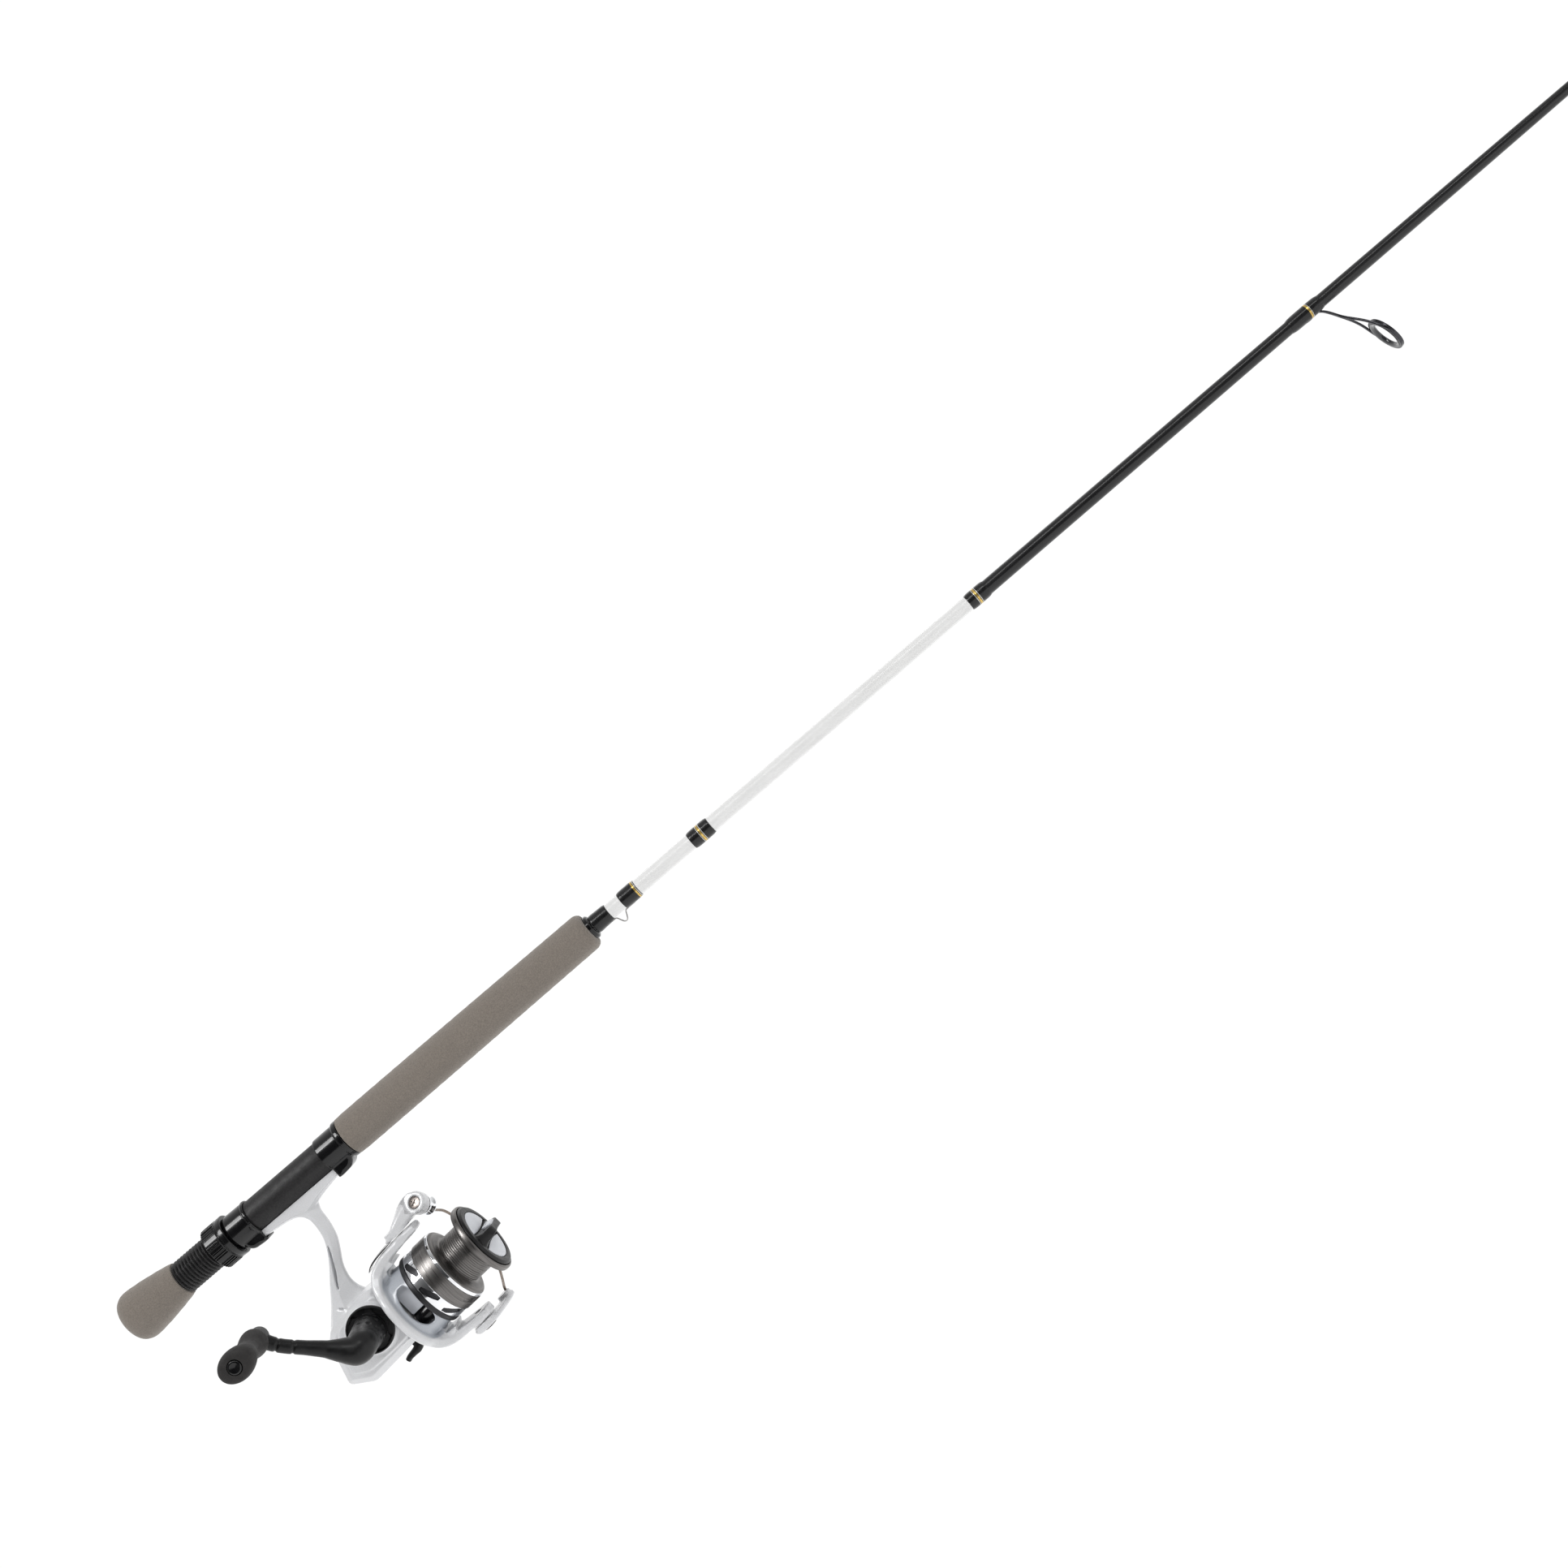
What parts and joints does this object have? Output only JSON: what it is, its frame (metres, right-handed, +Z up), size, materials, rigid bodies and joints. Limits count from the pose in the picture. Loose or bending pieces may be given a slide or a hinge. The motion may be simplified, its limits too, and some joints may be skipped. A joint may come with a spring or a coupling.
{
  "type": "spinning rod and reel",
  "caption": "One-piece spinning rod with foam grips and an open-face spinning reel: folding bail, turning rotor, stroking spool, front drag knob and side crank handle.",
  "frame": {"origin": "rod axis at the middle of the reel seat, where the hand holds it", "axes": "+X along the blank to the tip, +Z up (the reel hangs to -Z), -Y the handle side"},
  "size_m": [1.8288, 0.1505, 0.1489],
  "materials": {
    "eva_foam": "fine-grained closed-cell foam, matt",
    "blank_paint": "painted fibre tube: pearl white to the transition wrap, bare charcoal fibre beyond",
    "seat_satin": "satin with a fine speckle",
    "washer_felt": "pressed fibre",
    "black_gloss": "moulded, glossy",
    "thread_epoxy": "thread under clear epoxy",
    "steel": "bright",
    "guide_frame": "dark polished steel",
    "ceramic_ring": "polished dark oxide",
    "pearl_paint": "pearl white paint",
    "brass": "machined",
    "black_satin": "satin black",
    "chrome": "polished",
    "gunmetal": "anodised gunmetal, turned",
    "silver_paint": "silver inlay",
    "soft_grip": "soft-touch"
  },
  "bodies": {
    "rod": {"butt_cap": "eva_foam", "rod_blank": "blank_paint", "seat_tube": "seat_satin", "seat_arbor": "washer_felt", "fixed_hood": "black_gloss", "fore_grip": "eva_foam", "winding_check": "black_gloss", "keeper_wrap_rear": "thread_epoxy", "hook_keeper": "steel", "keeper_wrap_front": "thread_epoxy", "trim_wrap": "thread_epoxy", "transition_wrap": "thread_epoxy", "guide_1_frame": "guide_frame", "guide_1_ring": "ceramic_ring", "guide_1_wrap": "thread_epoxy", "guide_2_frame": "guide_frame", "guide_2_ring": "ceramic_ring", "guide_2_wrap": "thread_epoxy", "guide_3_frame": "guide_frame", "guide_3_ring": "ceramic_ring", "guide_3_wrap": "thread_epoxy", "guide_4_frame": "guide_frame", "guide_4_ring": "ceramic_ring", "guide_4_wrap": "thread_epoxy", "guide_5_frame": "guide_frame", "guide_5_ring": "ceramic_ring", "guide_5_wrap": "thread_epoxy", "tip_top": "guide_frame", "reel_body": "pearl_paint", "side_cover": "pearl_paint", "pinion_bearing": "steel", "handle_bearing_ring": "black_satin"},
    "sliding_hood": {"sliding_hood": "black_gloss"},
    "lock_nut": {"lock_nut": "black_gloss"},
    "crank": {"drive_gear": "brass", "handle_arm": "black_satin", "knob_pin": "steel", "handle_cap": "black_satin"},
    "handle_knob": {"handle_knob": "soft_grip", "knob_cap": "black_gloss"},
    "oscillation_gear": {"oscillation_gear": "brass"},
    "rotor": {"pinion": "brass", "rotor": "pearl_paint", "rotor_nut": "brass", "rotor_arm_cover": "black_gloss", "bail_screw_upper": "steel", "bail_screw_lower": "steel"},
    "bail": {"bail_arm": "pearl_paint", "roller_screw": "steel", "bail_wire": "steel", "bail_lever": "pearl_paint"},
    "line_roller": {"line_roller": "chrome"},
    "main_shaft": {"main_shaft": "steel", "oscillation_slider": "black_satin"},
    "spool": {"spool": "gunmetal", "drag_washers": "washer_felt"},
    "drag_knob": {"drag_knob": "black_gloss", "drag_inlay_upper": "silver_paint", "drag_inlay_lower": "silver_paint"},
    "anti_reverse_lever": {"anti_reverse_lever": "black_satin"}
  },
  "joints": [
    {"name": "nut_turn", "type": "hinge", "parent": "sliding_hood", "child": "lock_nut", "pos_m": [-0.05, 0, 0], "axis": [1, 0, 0], "range_deg": [0, 1440]},
    {"name": "hood_slide", "type": "slide", "parent": "rod", "child": "sliding_hood", "axis": [1, 0, 0], "range_m": [-0.009, 0]},
    {"name": "crank_turn", "type": "hinge", "parent": "rod", "child": "crank", "pos_m": [-0.0125, 0, -0.0887], "axis": [0, 1, 0], "continuous": true},
    {"name": "rotor_spin", "type": "hinge", "parent": "rod", "child": "rotor", "pos_m": [0, 0, -0.0957], "axis": [0.9982, 0, 0.06], "continuous": true},
    {"name": "oscillation_turn", "type": "hinge", "parent": "rod", "child": "oscillation_gear", "pos_m": [-0.02487, 0, -0.0987], "axis": [0, 1, 0], "continuous": true},
    {"name": "spool_stroke", "type": "slide", "parent": "rod", "child": "main_shaft", "axis": [0.9982, 0, 0.06], "range_m": [-0.005, 0.005]},
    {"name": "drag_slip", "type": "hinge", "parent": "main_shaft", "child": "spool", "pos_m": [0.04991, 0, -0.0927], "axis": [0.9982, 0, 0.06], "continuous": true},
    {"name": "drag_knob_turn", "type": "hinge", "parent": "main_shaft", "child": "drag_knob", "pos_m": [0.06588, 0, -0.09174], "axis": [0.9982, 0, 0.06], "range_deg": [-360, 360]},
    {"name": "bail_swing", "type": "hinge", "parent": "rotor", "child": "bail", "pos_m": [0.03214, 0, -0.09377], "axis": [-0.06, 0, 0.9982], "range_deg": [-125, 0]},
    {"name": "roller_spin", "type": "hinge", "parent": "bail", "child": "line_roller", "pos_m": [0.04644, 0.01566, -0.05876], "axis": [0.0823, 0.8401, -0.5361], "continuous": true},
    {"name": "knob_spin", "type": "hinge", "parent": "crank", "child": "handle_knob", "pos_m": [-0.04532, -0.08, -0.04833], "axis": [0, 1, 0], "continuous": true},
    {"name": "anti_reverse_switch", "type": "hinge", "parent": "rod", "child": "anti_reverse_lever", "pos_m": [-0.00403, 0, -0.11197], "axis": [-0.06, 0, 0.9982], "range_deg": [0, 35]}
  ],
  "couplings": [
    {"joint": "hood_slide", "follows": "nut_turn", "m_per_rad": -0.00035},
    {"joint": "rotor_spin", "follows": "crank_turn", "ratio": 5.2},
    {"joint": "oscillation_turn", "follows": "crank_turn", "ratio": -0.71429}
  ]
}
